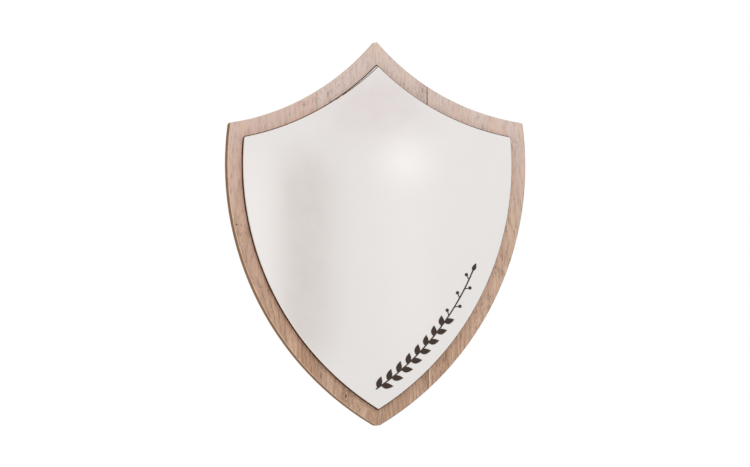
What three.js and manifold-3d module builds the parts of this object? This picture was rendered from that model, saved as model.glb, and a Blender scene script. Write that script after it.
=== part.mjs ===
// A wall plaque in the shape of a heater shield.
// Three planks are glued edge to edge over loose splines. A shallow pocket in the front takes a dark-edged
// backer, screwed on from behind, and a glossy pale sheet is bonded on the backer. Two strap hangers with
// swinging D-rings and four rubber bumpers are on the back.
//
// Millimetres. +X is to the viewer's right, the front faces -Y, +Z is up. The origin is at the middle of the
// board's flat back. The shield is laid out from its flank line, the level of the two flank arcs' centres.

import * as THREE from 'three';
import { mergeVertices } from 'three/addons/utils/BufferGeometryUtils.js';
import Module from 'manifold-3d';

// ---- Driving dimensions -----------------------------------------------------------------------------

// Board outline: each flank is an arc, each top edge a hollow arc from the apex to the shoulder.
const BOARD_WIDTH = 300;
const FLANK_RADIUS = 300;
const APEX_RISE = 122.6;
const SHOULDER_RISE = 41.7;
const TOP_RADIUS = 238;
const APEX_ROUNDING = 1.6;
const SHOULDER_ROUNDING = 2.6;
const TIP_ROUNDING = 7;
const BOARD_THICKNESS = 18;
const ARRIS = 0.9;

// Glue joints between the planks, measured from the middle.
const LEFT_JOINT = 60;
const RIGHT_JOINT = 51;
const SPLINE_THICKNESS = 4;
const SPLINE_WIDTH = 14;
const SPLINE_CLEARANCE = 0.25;
const SPLINE_DEPTH = 9;
const SPLINE_END_COVER = 22;

// Rail of bare wood round the pocket, and the pocket itself.
const FLANK_RAIL = 14;
const TOP_RAIL = 15.5;
const POCKET_DEPTH = 3;
const POCKET_GAP = 0.9;
const PANEL_CORNERS = { apex: 1.2, shoulder: 2.2, tip: 1.6 };
const POCKET_CORNERS = { apex: 0.8, shoulder: PANEL_CORNERS.shoulder + POCKET_GAP, tip: 2 };

// Backer, adhesive and sheet.
const BACKER_THICKNESS = 5;
const ADHESIVE_THICKNESS = 0.3;
const STRIP_WIDTH = 24;
const STRIP_SPACING = 54;
const STRIP_MARGIN = 16;
const STRIP_CROWN = 2;
const SHEET_THICKNESS = 2.6;
const SHEET_BEVEL = 0.9;
const SHEET_BEVEL_HEIGHT = 0.5;

// Where the sheet is trimmed short beside the apex, showing a sliver of the backer.
const SLIVER_WIDTH = 1.7;
const SLIVER_LENGTH = 64;
const SLIVER_OVERRUN = 1.6;

// Leafy sprig on the sheet, following the right flank.
const SPRIG_THICKNESS = 0.4;
const SPRIG_INSET = 18;
const SPRIG_STEM_WIDTH = 1.3;
const SPRIG_START = 56.5;
const SPRIG_END = 23;
const LEAF_COUNT = 8;
const LEAF_LENGTH = 12.4;
const LEAF_WIDTH = 5.8;
const LEAF_LEAN = 38;
const LEAF_PITCH = 2.75;
const FIRST_LEAF = 0.4;
const LEAF_STAGGER = 0.35;
const LEAF_TAPER = 0.02;
const LEAF_FULLNESS = 0.8;
const END_LEAF_SCALE = 0.7;
const END_LEAF_OVERLAP = 0.3;
const BERRY_COUNT = 5;
const BERRY_RADIUS = 1.7;
const BERRY_STALK = 5.6;
const BERRY_STALK_WIDTH = 0.9;
const BERRY_LEAN = 52;
const BERRY_PITCH = 2.2;

// Countersunk screws through the board into the backer.
const BACKER_SCREW = { shank: 1.75, head: 3.9, cone: 2.4, recess: 2.6, web: 0.55, recessDepth: 1.1 };
const BACKER_SCREW_BITE = 3.2;
const BACKER_SCREW_FROM_SIDE = 30;
const BACKER_SCREW_BELOW_SHOULDER = 66;
const BACKER_SCREW_BELOW_APEX = 52;
const BACKER_SCREW_ABOVE_TIP = 58;
const SCREW_CLEARANCE = 0.2;

// Strap hangers and their D-rings.
const HANGER_OFFSET = 84;
const HANGER_RISE = 22;
const STRAP_WIDTH = 14;
const STRAP_LENGTH = 43;
const STRAP_THICKNESS = 1.1;
const STRAP_END_ROUNDING = 5;
const STRAP_SCREW_DROPS = [24, 36];
const RING_WIRE_RADIUS = 1.25;
const RING_RUNNING_GAP = 0.35;
const RING_WIDTH = 21.5;
const RING_DROP = 17.5;
const RING_CORNER = 3.2;
const RING_BUTT_GAP = 0.3;
const RING_SIDES = 8;
const RING_STEPS = 40;
const RING_BAR_POINT = 0.3;
const RING_CORNER_STEPS = 4;
const RING_BOW_STEPS = 7;

// Pan-head screws in the straps.
const STRAP_SCREW = {
  shank: 1.5, head: 3, headHeight: 1.7, length: 11, recess: 1.9, web: 0.45, recessDepth: 0.9,
};

// Radius of a screw's blunt point, as a share of its shank, and the crown of a pan head as shares of the
// head's radius and height.
const BACKER_SCREW_POINT = 0.45;
const STRAP_SCREW_POINT = 0.4;
const PAN_HEAD_CROWN = [[1, 0.45], [0.72, 0.88], [0.35, 1]];

// Rubber bumpers.
const BUMPER_RADIUS = 6.5;
const BUMPER_HEIGHT = 6.5;
const BUMPER_EDGE = 1.2;
const BUMPER_EDGE_MIDDLE = 0.3;
const BUMPER_FROM_SIDE = 26;
const BUMPER_BELOW_SHOULDER = 22;
const BUMPER_ABOVE_TIP = 46;
const BUMPER_TIP_SPREAD = 24;

// How finely curves are cut.
const TOP_ARC_STEPS = 18;
const UPPER_FLANK_STEPS = 4;
const FLANK_ARC_STEPS = 26;
const CORNER_STEPS = 4;
const ROUND_STEPS = 24;
const SCREW_STEPS = 16;
const LEAF_STEPS = 8;
const BERRY_STEPS = 14;

// How far a cutter runs past the face that it cuts.
const OVERRUN = 1;

// ---- Solids -----------------------------------------------------------------------------------------

const wasm = await Module();
wasm.setup();

// A closed geometry as a manifold solid that can be joined and cut.
function solid(geometry) {
  const bare = geometry.clone();
  bare.deleteAttribute('normal');
  bare.deleteAttribute('uv');
  const merged = mergeVertices(bare, 1e-4);
  return new wasm.Manifold(new wasm.Mesh({
    numProp: 3,
    vertProperties: new Float32Array(merged.attributes.position.array),
    triVerts: new Uint32Array(merged.index.array),
  }));
}

function geometryOf(manifold) {
  const mesh = manifold.getMesh();
  const geometry = new THREE.BufferGeometry();
  geometry.setAttribute('position', new THREE.BufferAttribute(mesh.vertProperties, 3));
  geometry.setIndex(new THREE.BufferAttribute(mesh.triVerts, 1));
  return geometry;
}

// A flat outline in X and Z, extruded forwards from the level yBack to yBack - thickness.
function slab(points, yBack, thickness, bevel = null) {
  const options = { depth: thickness, bevelEnabled: false, curveSegments: ROUND_STEPS };
  if (bevel) {
    options.depth = thickness - 2 * bevel.height;
    options.bevelEnabled = true;
    options.bevelThickness = bevel.height;
    options.bevelSize = bevel.size;
    options.bevelOffset = -bevel.size;
    options.bevelSegments = bevel.segments;
  }
  const geometry = new THREE.ExtrudeGeometry(new THREE.Shape(points), options);
  geometry.rotateX(Math.PI / 2);
  geometry.translate(0, yBack - (bevel ? bevel.height : 0), 0);
  return geometry;
}

function block(x0, x1, y0, y1, z0, z1) {
  const geometry = new THREE.BoxGeometry(x1 - x0, y1 - y0, z1 - z0);
  geometry.translate((x0 + x1) / 2, (y0 + y1) / 2, (z0 + z1) / 2);
  return geometry;
}

// A round solid about a line along Y, from a profile of (radius, y) points.
function turned(profile, x, z, steps = ROUND_STEPS) {
  const points = profile.map(([radius, y]) => new THREE.Vector2(radius, y));
  const geometry = new THREE.LatheGeometry(points, steps);
  geometry.translate(x, 0, z);
  return geometry;
}

function rod(radius, y0, y1, x, z) {
  return turned([[0, y0], [radius, y0], [radius, y1], [0, y1]], x, z);
}

// ---- Shield outlines --------------------------------------------------------------------------------

const flankCentreX = FLANK_RADIUS - BOARD_WIDTH / 2;
const shoulderX = Math.sqrt(FLANK_RADIUS ** 2 - SHOULDER_RISE ** 2) - flankCentreX;

// Centre of the hollow arc on the right of the top, from its two ends and its radius.
function topCentre() {
  const run = shoulderX;
  const fall = SHOULDER_RISE - APEX_RISE;
  const chord = Math.hypot(run, fall);
  const reach = Math.sqrt(TOP_RADIUS ** 2 - (chord / 2) ** 2);
  return new THREE.Vector2(run / 2 - (fall / chord) * reach, APEX_RISE + fall / 2 + (run / chord) * reach);
}

const TOP_CENTRE = topCentre();
const FLANK_CENTRE = new THREE.Vector2(-flankCentreX, 0);

function apexOf(topInset) {
  return TOP_CENTRE.y - Math.sqrt((TOP_RADIUS + topInset) ** 2 - TOP_CENTRE.x ** 2);
}

function tipOf(flankInset) {
  return -Math.sqrt((FLANK_RADIUS - flankInset) ** 2 - flankCentreX ** 2);
}

// Point where the right flank meets the right top edge, both moved in.
function shoulderOf(flankInset, topInset) {
  const flank = FLANK_RADIUS - flankInset;
  const top = TOP_RADIUS + topInset;
  const between = new THREE.Vector2().subVectors(TOP_CENTRE, FLANK_CENTRE);
  const distance = between.length();
  const along = (flank ** 2 - top ** 2 + distance ** 2) / (2 * distance);
  const aside = Math.sqrt(flank ** 2 - along ** 2);
  between.normalize();
  return new THREE.Vector2(
    FLANK_CENTRE.x + between.x * along + between.y * aside,
    FLANK_CENTRE.y + between.y * along - between.x * aside,
  );
}

function arcPoints(centre, radius, from, to, steps) {
  const points = [];
  for (let i = 0; i <= steps; i += 1) {
    const angle = from + ((to - from) * i) / steps;
    points.push(new THREE.Vector2(centre.x + radius * Math.cos(angle), centre.y + radius * Math.sin(angle)));
  }
  return points;
}

const angleFrom = (centre, point) => Math.atan2(point.y - centre.y, point.x - centre.x);

// The whole outline, moved in from the board's edge, its corners rounded by arcs tangent to both edges.
// A rounding's centre is the same corner of an outline that lies its radius further in.
function shieldOutline(flankInset, topInset, rounding) {
  const top = TOP_RADIUS + topInset;
  const flank = FLANK_RADIUS - flankInset;
  const apexCentre = new THREE.Vector2(0, apexOf(topInset + rounding.apex));
  const shoulderCentre = shoulderOf(flankInset + rounding.shoulder, topInset + rounding.shoulder);
  const tipCentre = new THREE.Vector2(0, tipOf(flankInset + rounding.tip));
  const apexAngle = angleFrom(TOP_CENTRE, apexCentre);
  const topEndAngle = angleFrom(TOP_CENTRE, shoulderCentre);
  const flankStartAngle = angleFrom(FLANK_CENTRE, shoulderCentre);
  const tipAngle = angleFrom(FLANK_CENTRE, tipCentre);
  const half = [
    ...arcPoints(apexCentre, rounding.apex, Math.PI / 2, apexAngle + Math.PI, CORNER_STEPS),
    ...arcPoints(TOP_CENTRE, top, apexAngle + 2 * Math.PI, topEndAngle + 2 * Math.PI, TOP_ARC_STEPS),
    ...arcPoints(shoulderCentre, rounding.shoulder, topEndAngle + Math.PI, flankStartAngle, CORNER_STEPS),
    ...arcPoints(FLANK_CENTRE, flank, flankStartAngle, 0, UPPER_FLANK_STEPS),
    ...arcPoints(FLANK_CENTRE, flank, 0, tipAngle, FLANK_ARC_STEPS),
    ...arcPoints(tipCentre, rounding.tip, tipAngle, -Math.PI / 2, CORNER_STEPS),
  ];
  const right = half.filter((point, i) => i === 0 || point.distanceTo(half[i - 1]) > 1e-3);
  const left = right.slice(1, -1).reverse().map((point) => new THREE.Vector2(-point.x, point.y));
  return [...right, ...left];
}

// ---- Levels -----------------------------------------------------------------------------------------

const boardFront = -BOARD_THICKNESS;
const pocketFloor = boardFront + POCKET_DEPTH;
const backerFront = pocketFloor - BACKER_THICKNESS;
const sheetBack = backerFront - ADHESIVE_THICKNESS;
const sheetFront = sheetBack - SHEET_THICKNESS;
const boardTop = apexOf(APEX_ROUNDING) + APEX_ROUNDING;
const boardTip = tipOf(TIP_ROUNDING) - TIP_ROUNDING;
const midHeight = (boardTop + boardTip) / 2;
const panelFlankInset = FLANK_RAIL + POCKET_GAP;
const panelTopInset = TOP_RAIL + POCKET_GAP;
const panelShoulder = shoulderOf(panelFlankInset, panelTopInset);

// ---- Screws -----------------------------------------------------------------------------------------

// A cross recess cut into the head, whose outer face is at faceY and looks along +Y.
function crossRecess(size, x, z, faceY) {
  const { recess, web } = size;
  const floor = faceY - size.recessDepth;
  const across = block(x - recess, x + recess, floor, faceY + OVERRUN, z - web, z + web);
  const up = block(x - web, x + web, floor, faceY + OVERRUN, z - recess, z + recess);
  return solid(across).add(solid(up));
}

function countersunkScrew(size, x, z, tipY) {
  const body = turned([[0, tipY], [size.shank * BACKER_SCREW_POINT, tipY], [size.shank, tipY + size.shank],
    [size.shank, -size.cone], [size.head, 0], [0, 0]], x, z, SCREW_STEPS);
  return geometryOf(solid(body).subtract(crossRecess(size, x, z, 0)));
}

function panHeadScrew(size, x, z, seatY) {
  const tipY = seatY - size.length;
  const faceY = seatY + size.headHeight;
  const crown = PAN_HEAD_CROWN.map(([out, up]) => [size.head * out, seatY + size.headHeight * up]);
  const point = [[0, tipY], [size.shank * STRAP_SCREW_POINT, tipY], [size.shank, tipY + 2 * size.shank]];
  const head = [[size.shank, seatY], [size.head, seatY], ...crown, [0, faceY]];
  const body = turned([...point, ...head], x, z, SCREW_STEPS);
  return geometryOf(solid(body).subtract(crossRecess(size, x, z, faceY)));
}

const backerScrewTip = pocketFloor - BACKER_SCREW_BITE;
const backerScrewPlaces = [
  [-panelShoulder.x + BACKER_SCREW_FROM_SIDE, panelShoulder.y - BACKER_SCREW_BELOW_SHOULDER],
  [panelShoulder.x - BACKER_SCREW_FROM_SIDE, panelShoulder.y - BACKER_SCREW_BELOW_SHOULDER],
  [0, apexOf(panelTopInset) - BACKER_SCREW_BELOW_APEX],
  [0, tipOf(panelFlankInset) + BACKER_SCREW_ABOVE_TIP],
];

// The room a countersunk screw needs in the board and the backer.
function backerScrewRoom(x, z) {
  const { shank, head, cone } = BACKER_SCREW;
  const c = SCREW_CLEARANCE;
  return turned([[0, backerScrewTip - c], [shank + c, backerScrewTip - c], [shank + c, -cone - c],
    [head + c, 0], [head + c, OVERRUN], [0, OVERRUN]], x, z, SCREW_STEPS);
}

const hangerSides = [['left', -1], ['right', 1]];
const strapScrewPlaces = hangerSides.flatMap(([side, sign]) => STRAP_SCREW_DROPS.map(
  (drop, i) => ({ name: `hanger_screw_${side}_${i + 1}`, x: sign * HANGER_OFFSET, z: HANGER_RISE - drop }),
));

// ---- Board: three planks and two splines ------------------------------------------------------------

const jointXs = [-LEFT_JOINT, RIGHT_JOINT];
const splineBottom = Math.max(...jointXs.map(
  (x) => -Math.sqrt(FLANK_RADIUS ** 2 - (Math.abs(x) + flankCentreX) ** 2),
));
const splineTop = Math.min(...jointXs.map(
  (x) => TOP_CENTRE.y - Math.sqrt(TOP_RADIUS ** 2 - (TOP_CENTRE.x - Math.abs(x)) ** 2),
));

function spline(x) {
  const half = SPLINE_WIDTH / 2;
  const thick = SPLINE_THICKNESS / 2;
  return block(x - half, x + half, -SPLINE_DEPTH - thick, -SPLINE_DEPTH + thick,
    splineBottom + SPLINE_END_COVER, splineTop - SPLINE_END_COVER);
}

function splineGroove(x) {
  const c = SPLINE_CLEARANCE;
  const half = SPLINE_WIDTH / 2 + c;
  const thick = SPLINE_THICKNESS / 2 + c;
  return block(x - half, x + half, -SPLINE_DEPTH - thick, -SPLINE_DEPTH + thick,
    splineBottom + SPLINE_END_COVER - c, splineTop - SPLINE_END_COVER + c);
}

function wholeBoard() {
  const corners = { apex: APEX_ROUNDING, shoulder: SHOULDER_ROUNDING, tip: TIP_ROUNDING };
  const bevel = { height: ARRIS, size: ARRIS, segments: 2 };
  let board = solid(slab(shieldOutline(0, 0, corners), 0, BOARD_THICKNESS, bevel));
  const pocketOutline = shieldOutline(FLANK_RAIL, TOP_RAIL, POCKET_CORNERS);
  const pocket = slab(pocketOutline, pocketFloor, POCKET_DEPTH + OVERRUN);
  board = board.subtract(solid(pocket));
  for (const x of jointXs) {
    board = board.subtract(solid(splineGroove(x)));
  }
  for (const [x, z] of backerScrewPlaces) {
    board = board.subtract(solid(backerScrewRoom(x, z)));
  }
  for (const { x, z } of strapScrewPlaces) {
    const depth = STRAP_SCREW.length - STRAP_THICKNESS + SCREW_CLEARANCE;
    board = board.subtract(solid(rod(STRAP_SCREW.shank + SCREW_CLEARANCE, -depth, OVERRUN, x, z)));
  }
  return board;
}

const board = wholeBoard();

function plank(x0, x1) {
  const reach = FLANK_RADIUS;
  return geometryOf(board.intersect(solid(block(x0, x1, -reach, reach, -reach, reach))));
}

// ---- Panel: backer, adhesive strips, sheet ----------------------------------------------------------

function panelBacker() {
  const outline = shieldOutline(panelFlankInset, panelTopInset, PANEL_CORNERS);
  let backer = solid(slab(outline, pocketFloor, BACKER_THICKNESS));
  for (const [x, z] of backerScrewPlaces) {
    backer = backer.subtract(solid(backerScrewRoom(x, z)));
  }
  return geometryOf(backer);
}

// Adhesive strips run up the panel side by side, each as long as the panel allows it.
const stripXs = [-1.5, -0.5, 0.5, 1.5].map((step) => step * STRIP_SPACING);

function adhesiveStrip(x) {
  const outer = Math.abs(x) + STRIP_WIDTH / 2;
  const flank = FLANK_RADIUS - panelFlankInset;
  const top = TOP_RADIUS + panelTopInset;
  const bottom = -Math.sqrt(flank ** 2 - (outer + flankCentreX) ** 2) + STRIP_MARGIN;
  const upper = TOP_CENTRE.y - Math.sqrt(top ** 2 - (TOP_CENTRE.x - outer) ** 2) - STRIP_MARGIN;
  const outline = [
    new THREE.Vector2(x - STRIP_WIDTH / 2, bottom),
    new THREE.Vector2(x + STRIP_WIDTH / 2, bottom),
    new THREE.Vector2(x + STRIP_WIDTH / 2, upper),
    new THREE.Vector2(x, upper + STRIP_CROWN),
    new THREE.Vector2(x - STRIP_WIDTH / 2, upper),
  ];
  return slab(outline, backerFront, ADHESIVE_THICKNESS);
}

// The trim cut beside the apex: the left top arc, slid along itself so that it bites deepest at the apex.
function sliverCutter() {
  const radius = TOP_RADIUS + panelTopInset;
  const turn = SLIVER_LENGTH / radius;
  const slide = SLIVER_WIDTH / Math.sin(turn);
  const apex = new THREE.Vector2(0, apexOf(panelTopInset));
  const centre = new THREE.Vector2(-TOP_CENTRE.x, TOP_CENTRE.y);
  const end = angleFrom(centre, apex) - turn;
  const shifted = new THREE.Vector2(centre.x - Math.sin(end) * slide, centre.y + Math.cos(end) * slide);
  const sweep = arcPoints(shifted, radius, end, end + turn * SLIVER_OVERRUN, FLANK_ARC_STEPS);
  return slab([...sweep, shifted], sheetBack + OVERRUN, SHEET_THICKNESS + 2 * OVERRUN);
}

function faceSheet() {
  const outline = shieldOutline(panelFlankInset, panelTopInset, PANEL_CORNERS);
  const doubled = SHEET_THICKNESS * 2;
  const bevel = { height: SHEET_BEVEL_HEIGHT, size: SHEET_BEVEL, segments: 1 };
  const reach = FLANK_RADIUS;
  const bevelled = solid(slab(outline, sheetFront + doubled, doubled, bevel));
  const front = solid(block(-reach, reach, sheetFront - OVERRUN, sheetBack, -reach, reach));
  return geometryOf(bevelled.intersect(front).subtract(solid(sliverCutter())));
}

// ---- Sprig on the sheet -----------------------------------------------------------------------------

const sprigRadius = FLANK_RADIUS - panelFlankInset - SPRIG_INSET;
const degrees = (angle) => (angle * Math.PI) / 180;

// A closed lens outline of the given length and width, starting at its stalk and pointing along +X.
function leafOutline(length, width) {
  const edge = [];
  for (let i = 0; i <= LEAF_STEPS; i += 1) {
    const t = i / LEAF_STEPS;
    edge.push(new THREE.Vector2(t * length, (width / 2) * Math.sin(Math.PI * t ** LEAF_FULLNESS)));
  }
  const back = edge.slice(1, -1).reverse().map((point) => new THREE.Vector2(point.x, -point.y));
  return [...edge, ...back];
}

// Puts a flat outline on the stem: angle is its place along the arc, lean its turn from the stem's run.
function onStem(outline, angle, lean) {
  const base = new THREE.Vector2(
    FLANK_CENTRE.x + sprigRadius * Math.cos(angle),
    FLANK_CENTRE.y + sprigRadius * Math.sin(angle),
  );
  const heading = angle + Math.PI / 2 + lean;
  return outline.map((point) => point.clone().rotateAround(new THREE.Vector2(), heading).add(base));
}

function stemPiece(from, to, width) {
  const outer = arcPoints(FLANK_CENTRE, sprigRadius + width / 2, from, to, FLANK_ARC_STEPS);
  const inner = arcPoints(FLANK_CENTRE, sprigRadius - width / 2, from, to, FLANK_ARC_STEPS);
  return [...outer, ...inner.reverse()];
}

function sprigOutlines() {
  const start = -degrees(SPRIG_START);
  const end = -degrees(SPRIG_END);
  const outlines = [stemPiece(start, end, SPRIG_STEM_WIDTH)];
  for (let i = 0; i < LEAF_COUNT; i += 1) {
    const angle = start + degrees(FIRST_LEAF + i * LEAF_PITCH);
    const leaf = leafOutline(LEAF_LENGTH * (1 - LEAF_TAPER * i), LEAF_WIDTH);
    outlines.push(onStem(leaf, angle, degrees(LEAF_LEAN)));
    outlines.push(onStem(leaf, angle + degrees(LEAF_PITCH * LEAF_STAGGER), -degrees(LEAF_LEAN)));
  }
  const firstBerry = start + degrees(FIRST_LEAF + LEAF_COUNT * LEAF_PITCH);
  const stalk = [
    new THREE.Vector2(0, -BERRY_STALK_WIDTH / 2),
    new THREE.Vector2(BERRY_STALK, -BERRY_STALK_WIDTH / 2),
    new THREE.Vector2(BERRY_STALK, BERRY_STALK_WIDTH / 2),
    new THREE.Vector2(0, BERRY_STALK_WIDTH / 2),
  ];
  const berryCentre = new THREE.Vector2(BERRY_STALK, 0);
  const berry = arcPoints(berryCentre, BERRY_RADIUS, 0, 2 * Math.PI, BERRY_STEPS).slice(0, -1);
  for (let i = 0; i < BERRY_COUNT; i += 1) {
    const lean = degrees(BERRY_LEAN) * (i % 2 ? -1 : 1);
    const angle = firstBerry + degrees(i * BERRY_PITCH);
    outlines.push(onStem(stalk, angle, lean));
    outlines.push(onStem(berry, angle, lean));
  }
  const endLeaf = leafOutline(LEAF_LENGTH * END_LEAF_SCALE, LEAF_WIDTH * END_LEAF_SCALE);
  outlines.push(onStem(endLeaf, end - degrees(END_LEAF_OVERLAP), 0));
  return outlines;
}

function sprig() {
  const pieces = sprigOutlines().map((outline) => solid(slab(outline, sheetFront, SPRIG_THICKNESS)));
  return geometryOf(pieces.reduce((whole, piece) => whole.add(piece)));
}

// ---- Strap hangers and D-rings ----------------------------------------------------------------------

const loopBore = RING_WIRE_RADIUS + RING_RUNNING_GAP;
const loopOuter = loopBore + STRAP_THICKNESS;

// A steel strip with its top end curled round the ring's bar. The side view is extruded across the strip,
// then the lower corners are rounded and the screw holes cut.
function hangerStrap(x, z) {
  const profile = new THREE.Shape();
  profile.moveTo(0, -STRAP_LENGTH);
  profile.lineTo(STRAP_THICKNESS, -STRAP_LENGTH);
  const meet = Math.acos((loopOuter - STRAP_THICKNESS) / loopOuter);
  for (let i = 0; i <= ROUND_STEPS; i += 1) {
    const angle = -Math.PI + meet + ((2 * Math.PI - meet) * i) / ROUND_STEPS;
    profile.lineTo(loopOuter + loopOuter * Math.cos(angle), loopOuter * Math.sin(angle));
  }
  const bore = new THREE.Path();
  bore.absarc(loopOuter, 0, loopBore, 0, 2 * Math.PI, true);
  profile.holes.push(bore);
  const geometry = new THREE.ExtrudeGeometry(profile, {
    depth: STRAP_WIDTH, bevelEnabled: false, curveSegments: ROUND_STEPS,
  });
  geometry.applyMatrix4(new THREE.Matrix4().set(
    0, 0, 1, x - STRAP_WIDTH / 2,
    1, 0, 0, 0,
    0, 1, 0, z,
    0, 0, 0, 1,
  ));
  const half = STRAP_WIDTH / 2;
  const round = STRAP_END_ROUNDING;
  const corner = (sign, from) => {
    const centre = new THREE.Vector2(x + sign * (half - round), z - STRAP_LENGTH + round);
    return arcPoints(centre, round, from, from + Math.PI / 2, CORNER_STEPS);
  };
  const blank = slab([
    ...corner(-1, Math.PI), ...corner(1, 1.5 * Math.PI),
    new THREE.Vector2(x + half, z + 2 * loopOuter), new THREE.Vector2(x - half, z + 2 * loopOuter),
  ], 3 * loopOuter, 4 * loopOuter);
  let strap = solid(geometry).intersect(solid(blank));
  const hole = STRAP_SCREW.shank + SCREW_CLEARANCE;
  for (const drop of STRAP_SCREW_DROPS) {
    strap = strap.subtract(solid(rod(hole, -OVERRUN, STRAP_THICKNESS + OVERRUN, x, z - drop)));
  }
  return geometryOf(strap);
}

// A bent wire D. Its two ends butt in the middle of the straight bar, inside the strap's loop.
function ringPath() {
  const half = RING_WIDTH / 2 - RING_WIRE_RADIUS;
  const drop = RING_DROP - RING_WIRE_RADIUS;
  const bowCentre = -drop + half;
  const straight = half - RING_CORNER;
  const points = [[RING_BUTT_GAP / 2, 0], [half * RING_BAR_POINT, 0], [straight, 0]];
  for (let i = 1; i <= RING_CORNER_STEPS; i += 1) {
    const angle = (Math.PI / 2) * (1 - i / RING_CORNER_STEPS);
    points.push([straight + RING_CORNER * Math.cos(angle), RING_CORNER * (Math.sin(angle) - 1)]);
  }
  for (let i = 0; i <= RING_BOW_STEPS; i += 1) {
    const angle = (-Math.PI / 2) * (i / RING_BOW_STEPS);
    points.push([half * Math.cos(angle), bowCentre + half * Math.sin(angle)]);
  }
  const mirrored = points.slice(0, -1).reverse().map(([px, pz]) => [-px, pz]);
  const all = [...points, ...mirrored].map(([px, pz]) => new THREE.Vector3(px, loopOuter, pz));
  return new THREE.CatmullRomCurve3(all, false, 'centripetal');
}

function dRing(x, z) {
  const wire = new THREE.Shape(
    arcPoints(new THREE.Vector2(), RING_WIRE_RADIUS, 0, 2 * Math.PI, RING_SIDES).slice(0, -1),
  );
  const geometry = new THREE.ExtrudeGeometry(wire, {
    steps: RING_STEPS, bevelEnabled: false, extrudePath: ringPath(),
  });
  geometry.translate(x, 0, z);
  return geometry;
}

// ---- Bumpers ----------------------------------------------------------------------------------------

const boardShoulder = shoulderOf(0, 0);
const bumperPlaces = [
  [-boardShoulder.x + BUMPER_FROM_SIDE, boardShoulder.y - BUMPER_BELOW_SHOULDER],
  [boardShoulder.x - BUMPER_FROM_SIDE, boardShoulder.y - BUMPER_BELOW_SHOULDER],
  [-BUMPER_TIP_SPREAD, tipOf(0) + BUMPER_ABOVE_TIP],
  [BUMPER_TIP_SPREAD, tipOf(0) + BUMPER_ABOVE_TIP],
];

function bumper(x, z) {
  return turned([[0, 0], [BUMPER_RADIUS, 0], [BUMPER_RADIUS, BUMPER_HEIGHT - BUMPER_EDGE],
    [BUMPER_RADIUS - BUMPER_EDGE * BUMPER_EDGE_MIDDLE, BUMPER_HEIGHT - BUMPER_EDGE * BUMPER_EDGE_MIDDLE],
    [BUMPER_RADIUS - BUMPER_EDGE, BUMPER_HEIGHT], [0, BUMPER_HEIGHT]], x, z);
}

// ---- Materials --------------------------------------------------------------------------------------

function finish(color, roughness, metalness) {
  return new THREE.MeshStandardMaterial({ color, roughness, metalness });
}

const wood = finish(0xc0a08c, 0.75, 0);
const splineWood = finish(0xb58d62, 0.8, 0);
const backerBoard = finish(0x5a4032, 0.7, 0);
const adhesive = finish(0xd8d4c8, 0.6, 0);
const glossSheet = finish(0xe7e3e0, 0.15, 0.3);
const darkInlay = finish(0x503c34, 0.5, 0);
const plated = finish(0xb8b8b6, 0.3, 1);
const rubber = finish(0x3a3836, 0.85, 0);

// ---- Assembly ---------------------------------------------------------------------------------------

const group = new THREE.Group();
const plaque = new THREE.Group();
plaque.position.z = -midHeight;
group.add(plaque);

function addPiece(name, geometry, material) {
  const mesh = new THREE.Mesh(geometry, material);
  mesh.name = name;
  plaque.add(mesh);
}

addPiece('stave_left', plank(-FLANK_RADIUS, -LEFT_JOINT), wood);
addPiece('stave_centre', plank(-LEFT_JOINT, RIGHT_JOINT), wood);
addPiece('stave_right', plank(RIGHT_JOINT, FLANK_RADIUS), wood);
addPiece('spline_left', spline(-LEFT_JOINT), splineWood);
addPiece('spline_right', spline(RIGHT_JOINT), splineWood);
addPiece('panel_backer', panelBacker(), backerBoard);
stripXs.forEach((x, i) => addPiece(`adhesive_strip_${i + 1}`, adhesiveStrip(x), adhesive));
addPiece('face_sheet', faceSheet(), glossSheet);
addPiece('sprig_inlay', sprig(), darkInlay);
backerScrewPlaces.forEach(([x, z], i) => {
  addPiece(`backer_screw_${i + 1}`, countersunkScrew(BACKER_SCREW, x, z, backerScrewTip), plated);
});
for (const [side, sign] of hangerSides) {
  addPiece(`hanger_strap_${side}`, hangerStrap(sign * HANGER_OFFSET, HANGER_RISE), plated);
  addPiece(`d_ring_${side}`, dRing(sign * HANGER_OFFSET, HANGER_RISE), plated);
}
for (const { name, x, z } of strapScrewPlaces) {
  addPiece(name, panHeadScrew(STRAP_SCREW, x, z, STRAP_THICKNESS), plated);
}
bumperPlaces.forEach(([x, z], i) => addPiece(`bumper_${i + 1}`, bumper(x, z), rubber));

export default group;
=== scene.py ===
from math import cos, radians, sin, tan

import bpy
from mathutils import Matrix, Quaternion, Vector


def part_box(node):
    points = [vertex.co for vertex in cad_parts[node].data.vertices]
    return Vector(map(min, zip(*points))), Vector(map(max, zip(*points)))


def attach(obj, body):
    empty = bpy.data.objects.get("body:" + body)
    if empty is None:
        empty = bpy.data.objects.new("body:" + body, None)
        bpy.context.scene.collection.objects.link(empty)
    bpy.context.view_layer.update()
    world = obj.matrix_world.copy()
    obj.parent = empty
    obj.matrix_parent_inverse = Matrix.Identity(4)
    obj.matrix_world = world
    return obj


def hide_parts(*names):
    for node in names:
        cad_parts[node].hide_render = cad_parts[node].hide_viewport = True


# A wooden wall plaque: a heater-shield board with a raised pearl-white panel and a dark leafy sprig. The file
# follows it as it is put together: planks, splines, backer, adhesive, sheet and sprig, then the screws,
# hangers and bumpers on the back, and last the studio that it is shown in. Everything is in metres, in the
# CAD frame: +X to the viewer's right, the front faces -Y, +Z is up.

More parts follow.
